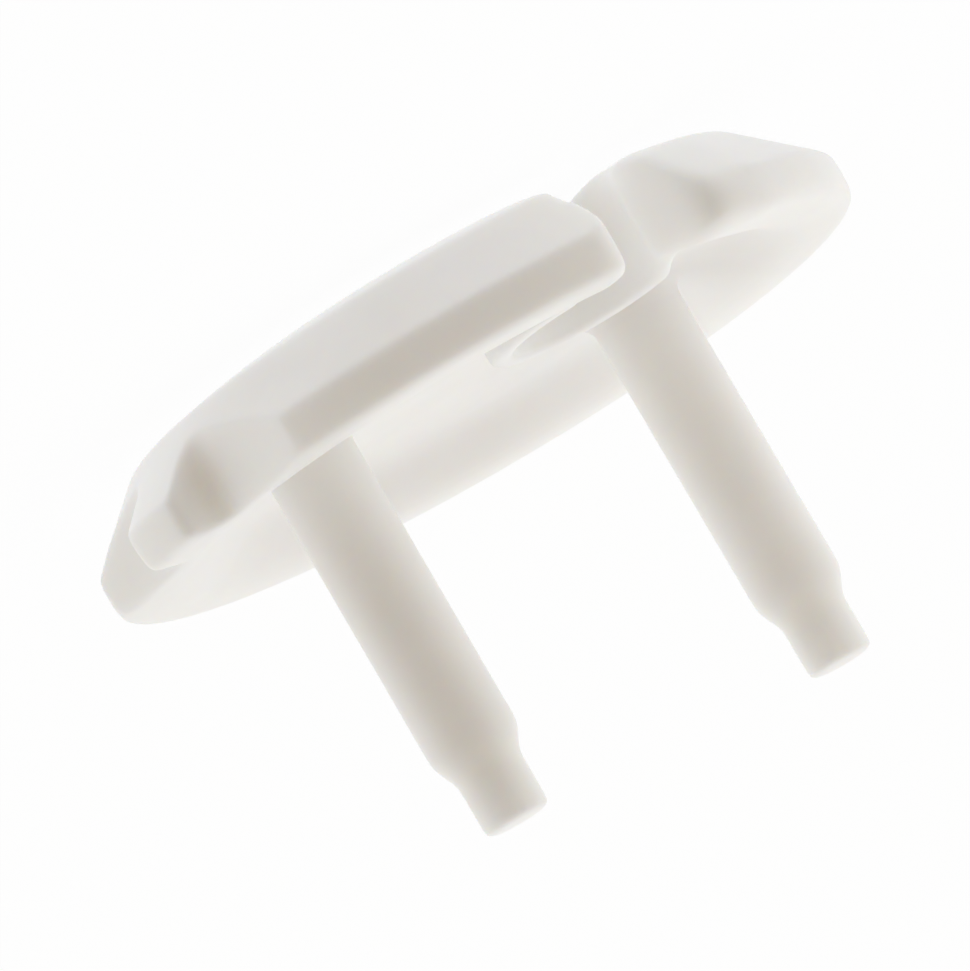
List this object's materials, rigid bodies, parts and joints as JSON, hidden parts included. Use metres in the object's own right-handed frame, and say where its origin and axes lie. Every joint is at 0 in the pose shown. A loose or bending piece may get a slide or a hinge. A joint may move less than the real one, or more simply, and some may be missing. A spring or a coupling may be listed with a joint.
{
  "type": "outlet safety cover",
  "caption": "Round bevelled plate with a keyhole slot and stepped round pins that plugs into a wall socket and closes its holes.",
  "frame": {"origin": "on the cover's axis, in the plane of the crest that rounds its front", "axes": "+Z from the front towards the pin tips, +X along the line through both pins, away from the grip on the rim, +Y towards the slot in the rim"},
  "size_m": [0.0368, 0.0364, 0.0224],
  "materials": {
    "safety_cover": "smooth white moulded plastic, slightly translucent"
  },
  "bodies": {
    "root": {"safety_cover": "safety_cover"}
  },
  "joints": []
}
